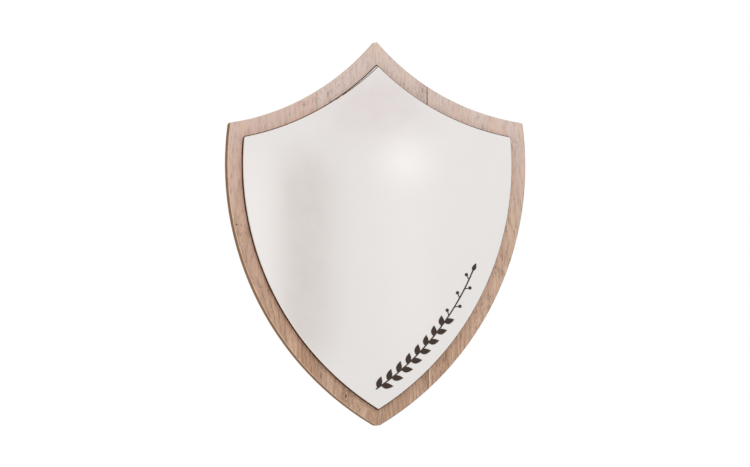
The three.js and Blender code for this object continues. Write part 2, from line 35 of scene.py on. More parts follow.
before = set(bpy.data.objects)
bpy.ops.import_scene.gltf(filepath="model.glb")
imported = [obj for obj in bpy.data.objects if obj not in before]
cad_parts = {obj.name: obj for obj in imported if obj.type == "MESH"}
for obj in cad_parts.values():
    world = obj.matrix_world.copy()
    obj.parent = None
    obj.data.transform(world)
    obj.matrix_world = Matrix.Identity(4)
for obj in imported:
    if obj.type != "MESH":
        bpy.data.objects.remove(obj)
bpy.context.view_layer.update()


# ---- Planks ----------------------------------------------------------------------------------------------
# Three planks of weathered hardwood, glued edge to edge, with the grain running up and down. The front was
# limed and has gone a pinkish grey; the sawn edges and the back have kept the brown of the bare wood. The
# arrises are eased by hand and a little worn; those facing left carry a painted highlight as well, and those
# facing right are darkened.

MERGE_WITHIN = 2e-6
TOUCHING = 1e-5


def edit(piece, by="VERT"):
    """Goes into edit mode on one piece, to select by vertex, edge or face."""
    bpy.context.tool_settings.mesh_select_mode = tuple(kind == by for kind in ("VERT", "EDGE", "FACE"))
    bpy.ops.object.select_all(action="DESELECT")
    piece.select_set(True)
    bpy.context.view_layer.objects.active = piece
    bpy.ops.object.mode_set(mode="EDIT")


def working_copy(node_name, piece_name):
    """A copy of a CAD solid as a piece of its own, its loose triangles joined and its flats made whole."""
    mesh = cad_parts[node_name].data.copy()
    mesh.name = piece_name
    mesh.materials.clear()
    piece = bpy.data.objects.new(piece_name, mesh)
    bpy.context.scene.collection.objects.link(piece)
    edit(piece)
    bpy.ops.mesh.select_all(action="SELECT")
    bpy.ops.mesh.remove_doubles(threshold=MERGE_WITHIN)
    bpy.ops.mesh.dissolve_limited(angle_limit=radians(0.2))
    bpy.ops.mesh.select_all(action="DESELECT")
    bpy.ops.object.mode_set(mode="OBJECT")
    return piece


def settle(piece, body, slot, *nodes, smooth=30):
    """Smooths a finished piece, puts it on its body and hides the CAD nodes it stands for."""
    bpy.ops.object.select_all(action="DESELECT")
    piece.select_set(True)
    bpy.context.view_layer.objects.active = piece
    bpy.ops.object.shade_smooth_by_angle(angle=radians(smooth))
    flats = piece.modifiers.new("flats stay flat", "WEIGHTED_NORMAL")
    flats.keep_sharp = True
    bpy.ops.object.modifier_apply(modifier=flats.name)
    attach(piece, body)
    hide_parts(*nodes)


def feed(tree, socket, value):
    """Gives a socket a plain value or another node's output."""
    if isinstance(value, bpy.types.NodeSocket):
        tree.links.new(value, socket)
    else:
        socket.default_value = value


def add(tree, kind, settings=None, **sockets):
    """Adds a shader node. Its sockets are named with _ for a space."""
    made = tree.nodes.new(kind)
    for name, value in (settings or {}).items():
        setattr(made, name, value)
    for name, value in sockets.items():
        feed(tree, made.inputs[name.replace("_", " ")], value)
    return made


def maths(tree, operation, first, second=0.0, clamp=False):
    """One step of arithmetic on two values."""
    made = tree.nodes.new("ShaderNodeMath")
    made.operation = operation
    made.use_clamp = clamp
    feed(tree, made.inputs[0], first)
    feed(tree, made.inputs[1], second)
    return made.outputs["Value"]


def mixed(tree, factor, first, second):
    """Two colours mixed by a factor."""
    made = tree.nodes.new("ShaderNodeMix")
    made.data_type = "RGBA"
    colour_a, colour_b = made.inputs[6], made.inputs[7]
    feed(tree, made.inputs["Factor"], factor)
    feed(tree, colour_a, (*first, 1.0) if isinstance(first, tuple) else first)
    feed(tree, colour_b, (*second, 1.0) if isinstance(second, tuple) else second)
    return made.outputs[2]


def faded(tree, value, start, end, low=0.0, high=1.0):
    """A value that goes smoothly from low at start to high at end."""
    made = add(
        tree, "ShaderNodeMapRange", {"interpolation_type": "SMOOTHSTEP"},
        Value=value, From_Min=start, From_Max=end, To_Min=low, To_Max=high,
    )
    return made.outputs["Result"]


def between(tree, value, rise, fall):
    """A value that goes from 0 to 1 over one stretch and back to 0 over a later one."""
    return maths(tree, "MULTIPLY", faded(tree, value, *rise), faded(tree, value, fall[1], fall[0]))


def noise(tree, vector, stretch, detail=3.0, roughness=0.55):
    """Noise over a vector stretched by three scales, as a value round 0.5."""
    placed = add(tree, "ShaderNodeMapping", {"vector_type": "POINT"}, Vector=vector, Scale=stretch)
    made = add(
        tree, "ShaderNodeTexNoise", Vector=placed.outputs["Vector"], Scale=1.0, Detail=detail,
        Roughness=roughness,
    )
    return made.outputs["Fac"]


def new_group(name, inputs, outputs):
    """An empty shader group with its named sockets, and its two end nodes."""
    group = bpy.data.node_groups.new(name, "ShaderNodeTree")
    for socket, kind in inputs:
        group.interface.new_socket(socket, in_out="INPUT", socket_type="NodeSocket" + kind)
    for socket, kind in outputs:
        group.interface.new_socket(socket, in_out="OUTPUT", socket_type="NodeSocket" + kind)
    return group, group.nodes.new("NodeGroupInput"), group.nodes.new("NodeGroupOutput")


def wood_grain_group():
    """Grain along Z: rings about the log's heart, streaks, broad bands, dark pores, and their relief."""
    group, given, result = new_group(
        "Wood grain",
        [("Vector", "Vector"), ("Heart Depth", "Float"), ("Ring Width", "Float"), ("Wander", "Float")],
        [(part, "Float") for part in ("Rings", "Streaks", "Bands", "Pores", "Relief")],
    )
    vector = given.outputs["Vector"]
    drift = maths(group, "SUBTRACT", noise(group, vector, (9, 9, 5.5), 3.0), 0.5)
    drift = maths(group, "MULTIPLY", drift, given.outputs["Wander"])
    aside = add(group, "ShaderNodeCombineXYZ", X=drift, Y=drift)
    wavy = add(group, "ShaderNodeVectorMath", {"operation": "ADD"})
    group.links.new(vector, wavy.inputs[0])
    group.links.new(aside.outputs["Vector"], wavy.inputs[1])
    wavy = wavy.outputs["Vector"]
    axes = add(group, "ShaderNodeSeparateXYZ", Vector=wavy)
    leaning = maths(group, "MULTIPLY", axes.outputs["Z"], 0.055)
    deep = maths(group, "SUBTRACT", axes.outputs["Y"], given.outputs["Heart Depth"])
    deep = maths(group, "ADD", deep, leaning)
    squares = maths(group, "MULTIPLY", axes.outputs["X"], axes.outputs["X"])
    squares = maths(group, "ADD", squares, maths(group, "MULTIPLY", deep, deep))
    from_heart = maths(group, "SQRT", squares)
    year = maths(group, "FRACT", maths(group, "DIVIDE", from_heart, given.outputs["Ring Width"]))
    late = maths(group, "MULTIPLY", faded(group, year, 0.25, 0.92), faded(group, year, 1.0, 0.93))
    streaks = noise(group, wavy, (620, 620, 17), 6.0, 0.66)
    bands = noise(group, wavy, (70, 70, 3.2), 3.0, 0.5)
    dashes = noise(group, wavy, (1700, 1700, 75), 2.0, 0.5)
    pores = faded(group, maths(group, "ADD", dashes, maths(group, "MULTIPLY", late, 0.06)), 0.6, 0.72)
    raised = maths(group, "ADD", maths(group, "MULTIPLY", streaks, 0.7), maths(group, "MULTIPLY", late, 0.35))
    raised = maths(group, "SUBTRACT", raised, maths(group, "MULTIPLY", pores, 0.6))
    for name, value in (
        ("Rings", late), ("Streaks", streaks), ("Bands", bands), ("Pores", pores), ("Relief", raised),
    ):
        group.links.new(value, result.inputs[name])
    return group


def knot_group():
    """A knot or a drying check in the wood: a dark core, and swirls of grain round it."""
    group, given, result = new_group(
        "Knot",
        [("Vector", "Vector"), ("X", "Float"), ("Z", "Float"), ("Radius", "Float"), ("Stretch", "Float")],
        [("Core", "Float"), ("Halo", "Float")],
    )
    axes = add(group, "ShaderNodeSeparateXYZ", Vector=given.outputs["Vector"])
    across = maths(group, "SUBTRACT", axes.outputs["X"], given.outputs["X"])
    along = maths(group, "SUBTRACT", axes.outputs["Z"], given.outputs["Z"])
    along = maths(group, "DIVIDE", along, given.outputs["Stretch"])
    squares = maths(group, "MULTIPLY", across, across)
    squares = maths(group, "ADD", squares, maths(group, "MULTIPLY", along, along))
    ragged = maths(group, "SUBTRACT", noise(group, given.outputs["Vector"], (500, 500, 260), 3.0), 0.5)
    reach = maths(group, "DIVIDE", maths(group, "SQRT", squares), given.outputs["Radius"])
    reach = maths(group, "ADD", reach, maths(group, "MULTIPLY", ragged, 1.4))
    swirl = maths(group, "SINE", maths(group, "MULTIPLY", reach, 4.4))
    near = faded(group, reach, 6.5, 1.0)
    group.links.new(faded(group, reach, 1.15, 0.6), result.inputs["Core"])
    halo = maths(group, "MULTIPLY", near, faded(group, swirl, -0.6, 1.0, 0.15, 0.8))
    group.links.new(halo, result.inputs["Halo"])
    return group


def surface(name):
    """A new material with its tree, its Principled shader and its Object coordinates."""
    material = bpy.data.materials.new(name)
    material.use_nodes = True
    tree = material.node_tree
    shader = tree.nodes["Principled BSDF"]
    place = tree.nodes.new("ShaderNodeTexCoord").outputs["Object"]
    return material, tree, shader, place


def relief(tree, shader, height, distance, strength=1.0):
    """Raises the surface by a height value, over a distance in metres."""
    bump = add(tree, "ShaderNodeBump", Height=height, Distance=distance, Strength=strength)
    tree.links.new(bump.outputs["Normal"], shader.inputs["Normal"])


WOOD_GRAIN = wood_grain_group()
KNOT = knot_group()
LIMED_TOP = (0.598, 0.480, 0.434)
LIMED_MIDDLE = (0.562, 0.408, 0.322)
LIMED_FOOT = (0.475, 0.306, 0.208)
WARM_TAN = (0.600, 0.420, 0.310)
WEATHERED = (0.26, 0.150, 0.100)
BARE_BROWN = (0.285, 0.136, 0.048)
PALE_WEAR_AND_HIGHLIGHT = (0.78, 0.60, 0.47)
KNOT_BROWN = (0.10, 0.055, 0.035)
SEAM_GRIME = (0.14, 0.085, 0.065)
POCKET_SHADE = (0.260, 0.120, 0.050)
FAINT_SHADE = (0.62, 0.43, 0.28)
ARRIS = 0.0009
SEAM_EASE = 0.0003
SEAM_DIRT = (0.30, 0.75)
SEAM_LIP = (0.0, 0.40)
LIP_RISE = (0.0004, 0.0009)
LIP_FALL = (0.0013, 0.0018)
GRIME_RISE = (-0.0010, -0.0003)
GRIME_FALL = (0.0003, 0.0008)
FOOT_TO_MIDDLE = (-0.15, 0.03)
MIDDLE_TO_TOP = (-0.01, 0.13)
YOUNG_TO_AGED = (0.12, -0.08, 0.20, 1.12)
LIME_ENDS = (0.35, 0.15)
POCKET_DEPTH = 0.003
RING_WIDTH = 0.0034
SHOULDER_BELOW_SEAM = 0.031
board_low, board_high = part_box("stave_centre")
front_face = board_low.y
seams = (board_low.x, board_high.x)
shoulder_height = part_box("stave_left")[1].z - SHOULDER_BELOW_SEAM


def times(colour, factor):
    """A colour made lighter or darker by a factor, or tinted by another colour."""
    factors = factor if isinstance(factor, tuple) else (factor,) * 3
    return tuple(channel * by for channel, by in zip(colour, factors))


def shaded(tree, colour, mask, strength, towards):
    """A colour taken towards another where a mask says so, by at most the strength."""
    return mixed(tree, maths(tree, "MULTIPLY", mask, strength, clamp=True), colour, towards)


def limed_plank(name, cut, heart, shade_tint, knots):
    """Weathered plank: limed front, brown edges and back. Cut and heart say where in its log it was sawn; the
    shade tint is painted shade laid over the whole plank.
    """
    material, tree, shader, place = surface(name)
    moved = add(tree, "ShaderNodeMapping", Vector=place, Location=cut).outputs["Vector"]
    grain = add(
        tree, "ShaderNodeGroup", {"node_tree": WOOD_GRAIN}, Vector=moved, Heart_Depth=heart,
        Ring_Width=RING_WIDTH, Wander=0.030,
    )
    rings, streaks, pores = (grain.outputs[part] for part in ("Rings", "Streaks", "Pores"))
    axes = add(tree, "ShaderNodeSeparateXYZ", Vector=place)
    across, depth, up = axes.outputs["X"], axes.outputs["Y"], axes.outputs["Z"]
    middle, top = faded(tree, up, *FOOT_TO_MIDDLE), faded(tree, up, *MIDDLE_TO_TOP)
    colour = mixed(tree, middle, times(LIMED_FOOT, shade_tint), times(LIMED_MIDDLE, shade_tint))
    colour = mixed(tree, top, colour, times(LIMED_TOP, shade_tint))
    age = faded(tree, up, *YOUNG_TO_AGED)
    fine = faded(tree, streaks, 0.42, 0.72)
    band = faded(tree, grain.outputs["Bands"], 0.42, 0.72)
    warm = faded(tree, grain.outputs["Bands"], 0.52, 0.36)
    colour = shaded(tree, colour, warm, 0.45, times(WARM_TAN, shade_tint))
    for mask, strength, towards in (
        (band, 0.22, WEATHERED),
        (rings, 0.20, WEATHERED),
        (fine, 0.36, WEATHERED),
        (faded(tree, streaks, 0.47, 0.27), 0.42, times(PALE_WEAR_AND_HIGHLIGHT, shade_tint)),
        (pores, 0.42, KNOT_BROWN),
    ):
        colour = shaded(tree, colour, maths(tree, "MULTIPLY", mask, age), strength, towards)
    for knot_x, knot_z, radius, stretch, core, swirl in knots:
        knot = add(
            tree, "ShaderNodeGroup", {"node_tree": KNOT}, Vector=place, X=knot_x, Z=knot_z, Radius=radius,
            Stretch=stretch,
        )
        colour = shaded(tree, colour, knot.outputs["Halo"], swirl, WEATHERED)
        colour = shaded(tree, colour, knot.outputs["Core"], core, KNOT_BROWN)
    # Arrises facing left get a painted highlight, broken up by wear; arrises facing right are darkened.
    chafed = faded(tree, noise(tree, place, (160, 160, 160), 3.0), 0.35, 0.65, 0.6, 1.0)
    turned = faded(tree, depth, front_face + ARRIS * 0.02, front_face + ARRIS * 0.3)
    turned = maths(tree, "MULTIPLY", turned, chafed)
    sideways = add(tree, "ShaderNodeAttribute", {"attribute_name": "facing_right"}).outputs["Fac"]
    left_arris_highlight = maths(tree, "MULTIPLY", turned, faded(tree, sideways, -0.05, -0.35))
    right_arris_darkened = maths(tree, "MULTIPLY", turned, faded(tree, sideways, 0.05, 0.35))
    colour = shaded(tree, colour, left_arris_highlight, 1.0, PALE_WEAR_AND_HIGHLIGHT)
    colour = shaded(tree, colour, right_arris_darkened, 0.55, WEATHERED)
    bare = mixed(tree, maths(tree, "MULTIPLY", band, 0.35), BARE_BROWN, times(BARE_BROWN, 1.5))
    bare = shaded(tree, bare, rings, 0.45, times(BARE_BROWN, 0.55))
    bare = shaded(tree, bare, fine, 0.4, times(BARE_BROWN, 0.6))
    bare = shaded(tree, bare, pores, 0.5, times(BARE_BROWN, 0.3))
    below = faded(tree, up, shoulder_height + 0.0025, shoulder_height + 0.0005)
    past_arris = faded(tree, depth, front_face + ARRIS * 0.75, front_face + ARRIS * 1.1)
    flank = maths(tree, "MULTIPLY", past_arris, below)
    behind = faded(tree, depth, front_face * LIME_ENDS[0], front_face * LIME_ENDS[1])
    colour = mixed(tree, maths(tree, "MAXIMUM", flank, behind), colour, bare)
    in_front = faded(tree, depth, front_face + ARRIS * 1.5, front_face + ARRIS)
    for seam, dirt, lip in zip(seams, SEAM_DIRT, SEAM_LIP):
        apart = maths(tree, "SUBTRACT", across, seam)
        lit = between(tree, apart, LIP_RISE, LIP_FALL)
        colour = shaded(tree, colour, maths(tree, "MULTIPLY", lit, in_front), lip, PALE_WEAR_AND_HIGHLIGHT)
        grime = between(tree, apart, GRIME_RISE, GRIME_FALL)
        colour = shaded(tree, colour, maths(tree, "MULTIPLY", grime, in_front), dirt, SEAM_GRIME)
    tree.links.new(colour, shader.inputs["Base Color"])
    tree.links.new(faded(tree, streaks, 0.2, 0.8, 0.62, 0.86), shader.inputs["Roughness"])
    shader.inputs["Specular IOR Level"].default_value = 0.28
    relief(tree, shader, grain.outputs["Relief"], 0.0006, 0.8)
    return material


def painted_gap_shade(name, colour):
    """Painted shade for gaps and dark edges, brushed, made fainter along the top edges near the shoulders,
    less so on the right.
    """
    material, tree, shader, place = surface(name)
    brushed = noise(tree, place, (420, 420, 60), 3.0)
    coat = mixed(tree, brushed, times(colour, 0.7), times(colour, 1.4))
    axes = add(tree, "ShaderNodeSeparateXYZ", Vector=place)
    across, up = axes.outputs["X"], axes.outputs["Z"]
    above = maths(tree, "SUBTRACT", up, shoulder_height)
    thin = between(tree, above, (-0.0160, -0.0125), (0.010, 0.030))
    thin = maths(tree, "MULTIPLY", thin, faded(tree, across, 0.070, 0.030, 0.25, 1.0))
    coat = shaded(tree, coat, thin, 1.0, FAINT_SHADE)
    tree.links.new(coat, shader.inputs["Base Color"])
    tree.links.new(faded(tree, brushed, 0.3, 0.7, 0.75, 0.9), shader.inputs["Roughness"])
    shader.inputs["Specular IOR Level"].default_value = 0.08
    return material


def ease_seams(piece):
    """Planes a fine bevel along the long edges where two planks meet, front and back."""
    for edge in piece.data.edges:
        a, b = (piece.data.vertices[i].co for i in edge.vertices)
        at_seam = any(abs(a.x - x) < TOUCHING and abs(b.x - x) < TOUCHING for x in seams)
        at_face = any(abs(a.y - y) < TOUCHING and abs(b.y - y) < TOUCHING for y in (front_face, board_high.y))
        edge.select = at_seam and at_face
    edit(piece, by="EDGE")
    bpy.ops.mesh.bevel(offset=SEAM_EASE, segments=1)
    bpy.ops.object.mode_set(mode="OBJECT")


# Each knot has its x and z, its radius, how far it is drawn out along the grain, and how dark its core and
# its swirl are.
pocket_painted_shade = painted_gap_shade("pocket_painted_shade", POCKET_SHADE)
# The left plank's darker, warmer tint is painted shade, for the light falling from the right.
for side, cut, heart, shade_tint, knots in (
    ("left", (0.130, 0.0, 0.02), -0.062, (0.965, 0.905, 0.87), [
        (-0.141, 0.009, 0.0010, 1.0, 0.9, 0.5),
        (-0.073, 0.128, 0.0009, 1.0, 0.6, 0.3),
    ]),
    ("centre", (0.012, 0.0, 0.31), -0.034, (1.0, 1.0, 1.0), [
        (-0.049, 0.138, 0.0006, 5.5, 0.6, 0.3),
        (-0.045, 0.142, 0.0005, 5.0, 0.5, 0.2),
        (-0.057, -0.141, 0.0008, 6.0, 0.6, 0.6),
        (-0.032, -0.161, 0.0013, 2.2, 0.7, 1.0),
        (0.046, 0.143, 0.0016, 2.4, 0.2, 0.5),
        (0.048, -0.143, 0.0009, 5.0, 0.3, 0.8),
    ]),
    ("right", (-0.118, 0.0, -0.17), -0.055, (1.0, 0.99, 0.98), [
        (0.134, -0.026, 0.0007, 5.0, 0.7, 0.4),
        (0.126, -0.024, 0.0006, 9.0, 0.3, 0.6),
        (0.069, -0.122, 0.0007, 8.0, 0.6, 0.6),
    ]),
):
    plank = working_copy(f"stave_{side}", f"plank_{side}")
    plank.data.materials.append(limed_plank(f"limed_plank_{side}", cut, heart, shade_tint, knots))
    plank.data.materials.append(pocket_painted_shade)
    ease_seams(plank)
    facing_right = plank.data.attributes.new("facing_right", "FLOAT", "FACE")
    for face in plank.data.polygons:
        facing_right.data[face.index].value = face.normal.x
        depths = [plank.data.vertices[i].co.y for i in face.vertices]
        in_pocket = max(depths) < front_face + POCKET_DEPTH + TOUCHING
        is_floor = min(depths) > front_face + POCKET_DEPTH - TOUCHING
        is_wall = abs(face.normal.y) < 0.1
        # The pocket's floor and walls take painted shade, for the dark gap round the panel.
        if in_pocket and (is_floor or is_wall):
            face.material_index = 1
    settle(plank, "board", "plank_wood", f"stave_{side}")


# ---- Splines ---------------------------------------------------------------------------------------------
# Two loose tongues of bare beech, planed flat and glued into grooves where the planks meet. They are the
# CAD's own solids, and would be seen only if the board came apart.

BEECH_PALE = (0.62, 0.43, 0.24)
BEECH_DARK = (0.45, 0.28, 0.14)


def bare_timber(name, colour, dark):
    """Unfinished planed wood."""
    material, tree, shader, place = surface(name)
    grain = add(
        tree, "ShaderNodeGroup", {"node_tree": WOOD_GRAIN}, Vector=place, Heart_Depth=0.05,
        Ring_Width=0.002, Wander=0.01,
    )
    tone = faded(tree, grain.outputs["Streaks"], 0.3, 0.75)
    shade = mixed(tree, tone, colour, dark)
    tree.links.new(shade, shader.inputs["Base Color"])
    tree.links.new(faded(tree, tone, 0.0, 1.0, 0.7, 0.88), shader.inputs["Roughness"])
    relief(tree, shader, grain.outputs["Relief"], 0.0003, 0.5)
    return material


beech = bare_timber("bare_beech", BEECH_PALE, BEECH_DARK)
for side in ("left", "right"):
    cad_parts[f"spline_{side}"].data.materials.clear()
    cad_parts[f"spline_{side}"].data.materials.append(beech)


# ---- Backer ----------------------------------------------------------------------------------------------
# A thin board that stands in the shallow pocket of the front. Its edge carries painted shade, dark like the
# gap round the panel, and its pale face shows only as a sliver beside the apex, where the sheet was trimmed
# short.

PALE_FACE = (0.90, 0.84, 0.78)
EDGE_SHADE = (0.200, 0.072, 0.026)
FACES_FRONT = -0.5


def pale_board():
    """Pale sanded face of the backer."""
    material, tree, shader, place = surface("pale_board")
    grain = add(
        tree, "ShaderNodeGroup", {"node_tree": WOOD_GRAIN}, Vector=place, Heart_Depth=0.08,
        Ring_Width=0.003, Wander=0.02,
    )
    tone = faded(tree, grain.outputs["Streaks"], 0.35, 0.75)
    face = mixed(tree, maths(tree, "MULTIPLY", tone, 0.3), PALE_FACE, times(PALE_FACE, 0.7))
    tree.links.new(face, shader.inputs["Base Color"])
    tree.links.new(faded(tree, tone, 0.0, 1.0, 0.55, 0.8), shader.inputs["Roughness"])
    relief(tree, shader, grain.outputs["Relief"], 0.0002, 0.4)
    return material


edge_painted_shade = painted_gap_shade("edge_painted_shade", EDGE_SHADE)
backer = working_copy("panel_backer", "backer_board")
backer.data.materials.append(pale_board())
backer.data.materials.append(edge_painted_shade)
# Every face but the front takes painted shade, dark like the gap the backer stands in.
for face in backer.data.polygons:
    if face.normal.y > FACES_FRONT:
        face.material_index = 1
settle(backer, "board", "stained_backer", "panel_backer")


# ---- Adhesive --------------------------------------------------------------------------------------------
# Four strips of double-sided film hold the sheet on the backer. They stay as the CAD has them, with the
# slightly uneven sheen of pressed adhesive.

FILM_DULL = (0.72, 0.69, 0.62)
FILM_MILKY = (0.86, 0.84, 0.79)


def adhesive_film():
    """Milky film with pressed air marks."""
    material, tree, shader, place = surface("adhesive_film")
    marks = noise(tree, place, (240, 240, 240), 2.0)
    tree.links.new(mixed(tree, marks, FILM_DULL, FILM_MILKY), shader.inputs["Base Color"])
    tree.links.new(faded(tree, marks, 0.3, 0.7, 0.35, 0.6), shader.inputs["Roughness"])
    return material


film = adhesive_film()
for number in range(1, 5):
    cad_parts[f"adhesive_strip_{number}"].data.materials.clear()
    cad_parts[f"adhesive_strip_{number}"].data.materials.append(film)


# ---- Sheet -----------------------------------------------------------------------------------------------
# A thin aluminium sheet, stove-enamelled in a glossy pearl white over its front and its fine bevel. The cut
# side below the bevel carries painted shade, dark like the gap it stands over. Beside the apex, where the
# sheet was trimmed short, a thin dark bead along the cut is a painted shadow line.

PEARL_LIGHT = (0.824, 0.795, 0.779)
PEARL_SHADE = (0.794, 0.761, 0.741)
SHADOW_LINE_DARK = (0.030, 0.018, 0.014)
BEAD_WIDTH = 0.00045
BEAD_RISE = 0.0011
BEAD_ROUNDING = 0.0001
BEAD_ABOVE_SHOULDER = 0.012
MIDDLE_SLACK = 0.0001
sheet_low, sheet_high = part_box("face_sheet")
sheet_middle = (sheet_low.y + sheet_high.y) / 2


def soften(piece, width, segments, angle=28):
    """Takes the sharpness off a piece's edges."""
    rounding = piece.modifiers.new("rounding", "BEVEL")
    rounding.width = width
    rounding.segments = segments
    rounding.limit_method = "ANGLE"
    rounding.angle_limit = radians(angle)
    bpy.ops.object.select_all(action="DESELECT")
    bpy.context.view_layer.objects.active = piece
    bpy.ops.object.modifier_apply(modifier="rounding")


def pearl_enamel():
    """Off-white pearl enamel under a clear gloss, with a faint cloudiness and a very slight orange peel."""
    material, tree, shader, place = surface("pearl_enamel")
    cloud = noise(tree, place, (7, 7, 4.5), 2.0)
    tree.links.new(mixed(tree, cloud, PEARL_SHADE, PEARL_LIGHT), shader.inputs["Base Color"])
    haze = noise(tree, place, (60, 60, 60), 4.0)
    tree.links.new(faded(tree, haze, 0.3, 0.7, 0.15, 0.18), shader.inputs["Roughness"])
    shader.inputs["Metallic"].default_value = 0.5
    shader.inputs["Coat Weight"].default_value = 0.2
    shader.inputs["Coat Roughness"].default_value = 0.1
    relief(tree, shader, haze, 0.00001, 0.2)
    return material


sheet = working_copy("face_sheet", "pearl_sheet")
sheet.data.materials.append(pearl_enamel())
sheet.data.materials.append(edge_painted_shade)
# The cut side and back of the sheet take painted shade, dark like the gap below.
for face in sheet.data.polygons:
    if face.normal.y > FACES_FRONT:
        face.material_index = 1
settle(sheet, "board", "pearl_enamel", "face_sheet", smooth=15)

# A thin dark bead along the cut beside the apex: a painted shadow line.
bead = working_copy("face_sheet", "shadow_line_bead")
for face in bead.data.polygons:
    beside_apex = face.center.z > shoulder_height + BEAD_ABOVE_SHOULDER
    faces_up_left = face.normal.x < -0.3 and abs(face.normal.y) < 0.1
    in_front_half = face.center.y < sheet_middle + MIDDLE_SLACK
    face.select = not (beside_apex and faces_up_left and in_front_half)
edit(bead, by="FACE")
bpy.ops.mesh.delete(type="FACE")
bpy.ops.mesh.select_all(action="SELECT")
bpy.ops.mesh.bisect(plane_co=(0, sheet_high.y - BEAD_RISE, 0), plane_no=(0, -1, 0), clear_outer=True)
bpy.ops.object.mode_set(mode="OBJECT")
wall = bead.modifiers.new("wall", "SOLIDIFY")
wall.thickness = BEAD_WIDTH
wall.offset = 1.0
bpy.ops.object.modifier_apply(modifier="wall")
soften(bead, BEAD_ROUNDING, 2, angle=40)
bead.data.materials.append(painted_gap_shade("shadow_line_shade", SHADOW_LINE_DARK))
settle(bead, "board", "stained_backer")


# ---- Sprig -----------------------------------------------------------------------------------------------
# A leafy sprig with berries, cut from thin dark-brown film. It is stuck on the sheet along its lower right
# edge.

FILM_DARK = (0.028, 0.015, 0.010)
FILM_BROWN = (0.050, 0.030, 0.021)


def brown_film():
    """Satin dark-brown film, very slightly mottled."""
    material, tree, shader, place = surface("brown_film")
    mottle = noise(tree, place, (300, 300, 300), 3.0)
    tree.links.new(mixed(tree, mottle, FILM_DARK, FILM_BROWN), shader.inputs["Base Color"])
    tree.links.new(faded(tree, mottle, 0.3, 0.7, 0.45, 0.6), shader.inputs["Roughness"])
    shader.inputs["Specular IOR Level"].default_value = 0.2
    return material


sprig = working_copy("sprig_inlay", "leafy_sprig")
sprig.data.materials.append(brown_film())
settle(sprig, "board", "dark_inlay", "sprig_inlay")


# ---- Screws ----------------------------------------------------------------------------------------------
# Cross-recess screws of bright zinc-plated steel. Four countersunk ones go through the board into the backer
# from behind, and two pan-heads hold each strap. Their rims and recesses are slightly rounded by the plating.

STEEL_DARK = (0.40, 0.40, 0.39)
STEEL_LIGHT = (0.62, 0.62, 0.60)
SCREW_ROUNDING = 0.00010


def zinc_plate():
    """Zinc plate: pale, slightly blotched, with tiny scuffs."""
    material, tree, shader, place = surface("zinc_plate")
    blotch = noise(tree, place, (420, 420, 420), 3.0)
    scuffs = noise(tree, place, (2600, 2600, 300), 2.0)
    colour = mixed(tree, blotch, STEEL_DARK, STEEL_LIGHT)
    colour = shaded(tree, colour, faded(tree, scuffs, 0.6, 0.7), 0.4, times(STEEL_LIGHT, 1.3))
    tree.links.new(colour, shader.inputs["Base Color"])
    tree.links.new(faded(tree, blotch, 0.3, 0.7, 0.24, 0.42), shader.inputs["Roughness"])
    shader.inputs["Metallic"].default_value = 1.0
    relief(tree, shader, blotch, 0.00004, 0.5)
    return material


zinc = zinc_plate()
screws = [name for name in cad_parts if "screw" in name]
for name in screws:
    screw = working_copy(name, f"zinc_{name}")
    soften(screw, SCREW_ROUNDING, 2)
    screw.data.materials.append(zinc)
    settle(screw, "board", "plated_steel", name, smooth=40)


# ---- Straps ----------------------------------------------------------------------------------------------
# Two strap hangers, stamped from sheet steel with tumbled edges, each with its top end curled round the bar
# of its ring. They are screwed to the back below the shoulders.

STRAP_ROUNDING = 0.00022

for side in ("left", "right"):
    strap = working_copy(f"hanger_strap_{side}", f"steel_strap_{side}")
    soften(strap, STRAP_ROUNDING, 3)
    strap.data.materials.append(zinc)
    settle(strap, "board", "plated_steel", f"hanger_strap_{side}", smooth=40)


# ---- Rings -----------------------------------------------------------------------------------------------
# Two D-rings, each bent from one length of round wire, with its ends butted inside the strap's curl. They
# swing in the curl. The wire is swelled before it is rounded, to make up for what the rounding takes off.

WIRE_SWELL = 0.00012

for side in ("left", "right"):
    ring = working_copy(f"d_ring_{side}", f"wire_ring_{side}")
    edit(ring)
    bpy.ops.mesh.select_all(action="SELECT")
    bpy.ops.transform.shrink_fatten(value=WIRE_SWELL)
    bpy.ops.object.mode_set(mode="OBJECT")
    rounding = ring.modifiers.new("rounding", "SUBSURF")
    rounding.levels = 2
    rounding.render_levels = 2
    bpy.ops.object.modifier_apply(modifier="rounding")
    ring.data.materials.append(zinc)
    settle(ring, f"ring_{side}", "plated_steel", f"d_ring_{side}", smooth=60)


# ---- Bumpers ---------------------------------------------------------------------------------------------
# Four moulded rubber bumpers, glued on the back, keep the hardware off the wall. They have round rims and a
# bloom of dust.

RUBBER_BLACK = (0.018, 0.017, 0.017)
RUBBER_DUSTY = (0.05, 0.047, 0.045)
BUMPER_ROUNDING = 0.0006


def bumper_rubber():
    """Dull black rubber with a bloom of dust."""
    material, tree, shader, place = surface("bumper_rubber")
    bloom = noise(tree, place, (350, 350, 350), 4.0)
    tree.links.new(mixed(tree, bloom, RUBBER_BLACK, RUBBER_DUSTY), shader.inputs["Base Color"])
    tree.links.new(faded(tree, bloom, 0.3, 0.7, 0.6, 0.85), shader.inputs["Roughness"])
    relief(tree, shader, bloom, 0.00006, 0.5)
    return material


rubber = bumper_rubber()
for number in range(1, 5):
    bumper = working_copy(f"bumper_{number}", f"rubber_bumper_{number}")
    soften(bumper, BUMPER_ROUNDING, 3, angle=20)
    bumper.data.materials.append(rubber)
    settle(bumper, "board", "rubber", f"bumper_{number}", smooth=50)


# ---- Studio ----------------------------------------------------------------------------------------------
# A pale floor below, white all round, a broad soft light high on the right and a tall soft light on the left.
# Five cards that only the gloss sees put soft shades and a soft glow in the panel.

